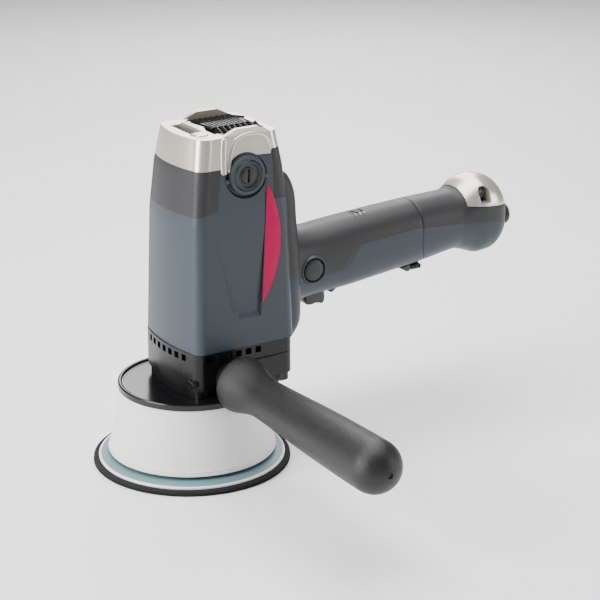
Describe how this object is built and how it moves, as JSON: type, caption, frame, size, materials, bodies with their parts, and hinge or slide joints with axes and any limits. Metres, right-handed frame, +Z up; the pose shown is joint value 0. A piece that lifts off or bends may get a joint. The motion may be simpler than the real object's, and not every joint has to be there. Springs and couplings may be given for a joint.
{
  "type": "dual action polisher",
  "caption": "Corded dual action polisher: vertical motor housing over an orbiting round pad in a splash skirt, long rear handle with trigger, rubber side grip.",
  "frame": {"origin": "on the drive spindle's axis, in the plane of the pad's hook face", "axes": "+Z up along the drive spindle, +X rearward along the main handle, -Y towards the side grip"},
  "size_m": [0.3101, 0.2671, 0.216],
  "materials": {
    "hook_black": "looped",
    "foam_black": "matte",
    "pad_blue": "satin",
    "pad_edge_white": "satin",
    "steel": "machined",
    "spring_steel": "drawn",
    "bearing_steel": "ground",
    "screw_steel": "zinc plated",
    "cast_iron": "as cast",
    "case_black": "gloss",
    "aluminium": "machined",
    "dish_black": "gloss",
    "skirt_white": "satin",
    "laminations": "stacked",
    "copper": "enamelled",
    "carbon": "matte",
    "fan_plastic": "moulded",
    "body_slate": "fine moulded grain",
    "body_charcoal": "soft-touch",
    "cap_champagne": "satin metallic",
    "grille_black": "satin",
    "stripe_magenta": "gloss",
    "brush_cap_black": "satin",
    "control_black": "satin",
    "board_green": "laminate",
    "grip_rubber": "fine texture",
    "stud_steel": "zinc plated"
  },
  "bodies": {
    "housing": {"gear_case": "case_black", "bearing_plate": "aluminium", "spindle_bearings": "bearing_steel", "case_screws": "screw_steel", "shroud_dish": "dish_black", "splash_skirt": "skirt_white", "skirt_clamp": "spring_steel", "stator_core": "laminations", "field_coils": "copper", "stator_bolts": "screw_steel", "motor_bearings": "bearing_steel", "bearing_bracket": "aluminium", "brush_holders": "copper", "carbon_brushes": "carbon", "brush_springs": "spring_steel", "motor_housing": "body_slate", "front_band": "body_charcoal", "rear_band": "body_charcoal", "top_cap": "cap_champagne", "vent_grille": "grille_black", "accent_stripe": "stripe_magenta", "handle_lower": "body_slate", "handle_upper": "body_charcoal", "handle_screws": "screw_steel", "seam_sleeve": "steel", "switch_body": "control_black", "speed_board": "board_green", "trigger_spring": "spring_steel", "latch_spring": "spring_steel"},
    "spindle": {"spindle": "steel", "spindle_gear": "steel", "eccentric_head": "cast_iron", "counterweight": "cast_iron", "pad_bearings": "bearing_steel"},
    "armature": {"armature_shaft": "steel", "armature_core": "laminations", "armature_windings": "copper", "commutator": "copper", "cooling_fan": "fan_plastic", "motor_pinion": "steel"},
    "pad": {"hook_layer": "hook_black", "foam_layer": "foam_black", "backing_plate": "pad_blue", "plate_edge_ring": "pad_edge_white", "pad_stud": "steel", "pad_spindle": "steel", "spindle_clip": "spring_steel"},
    "trigger": {"trigger": "control_black"},
    "lock_button": {"lock_button": "control_black"},
    "speed_dial": {"speed_dial": "control_black"},
    "latch_button": {"latch_button": "control_black"},
    "rear_grip": {"rear_grip_lower": "body_slate", "rear_grip_upper": "body_charcoal", "end_cap": "cap_champagne", "end_cap_screws": "screw_steel", "cord_inlet": "control_black"},
    "side_grip": {"side_grip": "grip_rubber", "side_stud": "stud_steel"},
    "brush_cap_left": {"brush_cap_left": "brush_cap_black"},
    "brush_cap_right": {"brush_cap_right": "brush_cap_black"}
  },
  "joints": [
    {"name": "spindle_spin", "type": "hinge", "parent": "housing", "child": "spindle", "pos_m": [0, 0, 0.03], "axis": [0, 0, 1], "continuous": true},
    {"name": "armature_spin", "type": "hinge", "parent": "housing", "child": "armature", "pos_m": [0.024, 0, 0.1], "axis": [0, 0, 1], "continuous": true},
    {"name": "pad_spin", "type": "hinge", "parent": "spindle", "child": "pad", "pos_m": [-0.00214, -0.00338, 0.02], "axis": [0, 0, 1], "continuous": true},
    {"name": "trigger_pull", "type": "slide", "parent": "housing", "child": "trigger", "axis": [0, 0, 1], "range_m": [0, 0.005], "stiffness_N_per_m": 300, "springref_m": -0.002, "deforming": ["trigger_spring"]},
    {"name": "lock_press", "type": "slide", "parent": "housing", "child": "lock_button", "axis": [0, 1, 0], "range_m": [0, 0.003], "stiffness_N_per_m": 300, "springref_m": -0.001},
    {"name": "speed_turn", "type": "hinge", "parent": "housing", "child": "speed_dial", "pos_m": [0.124, 0, 0.1333], "axis": [0, 1, 0], "range_deg": [0, 270]},
    {"name": "latch_press", "type": "slide", "parent": "housing", "child": "latch_button", "axis": [0, 0, 1], "range_m": [0, 0.002], "stiffness_N_per_m": 300, "springref_m": -0.001, "deforming": ["latch_spring"]},
    {"name": "rear_grip_pull", "type": "slide", "parent": "housing", "child": "rear_grip", "axis": [1, 0, 0], "range_m": [0, 0.03]},
    {"name": "side_grip_unscrew", "type": "slide", "parent": "housing", "child": "side_grip", "axis": [0, -1, 0], "range_m": [0, 0.03]},
    {"name": "brush_cap_left_out", "type": "slide", "parent": "housing", "child": "brush_cap_left", "axis": [0, -1, 0], "range_m": [0, 0.012]},
    {"name": "brush_cap_right_out", "type": "slide", "parent": "housing", "child": "brush_cap_right", "axis": [0, 1, 0], "range_m": [0, 0.012]}
  ],
  "couplings": [
    {"joint": "armature_spin", "follows": "spindle_spin", "ratio": -1.8}
  ]
}
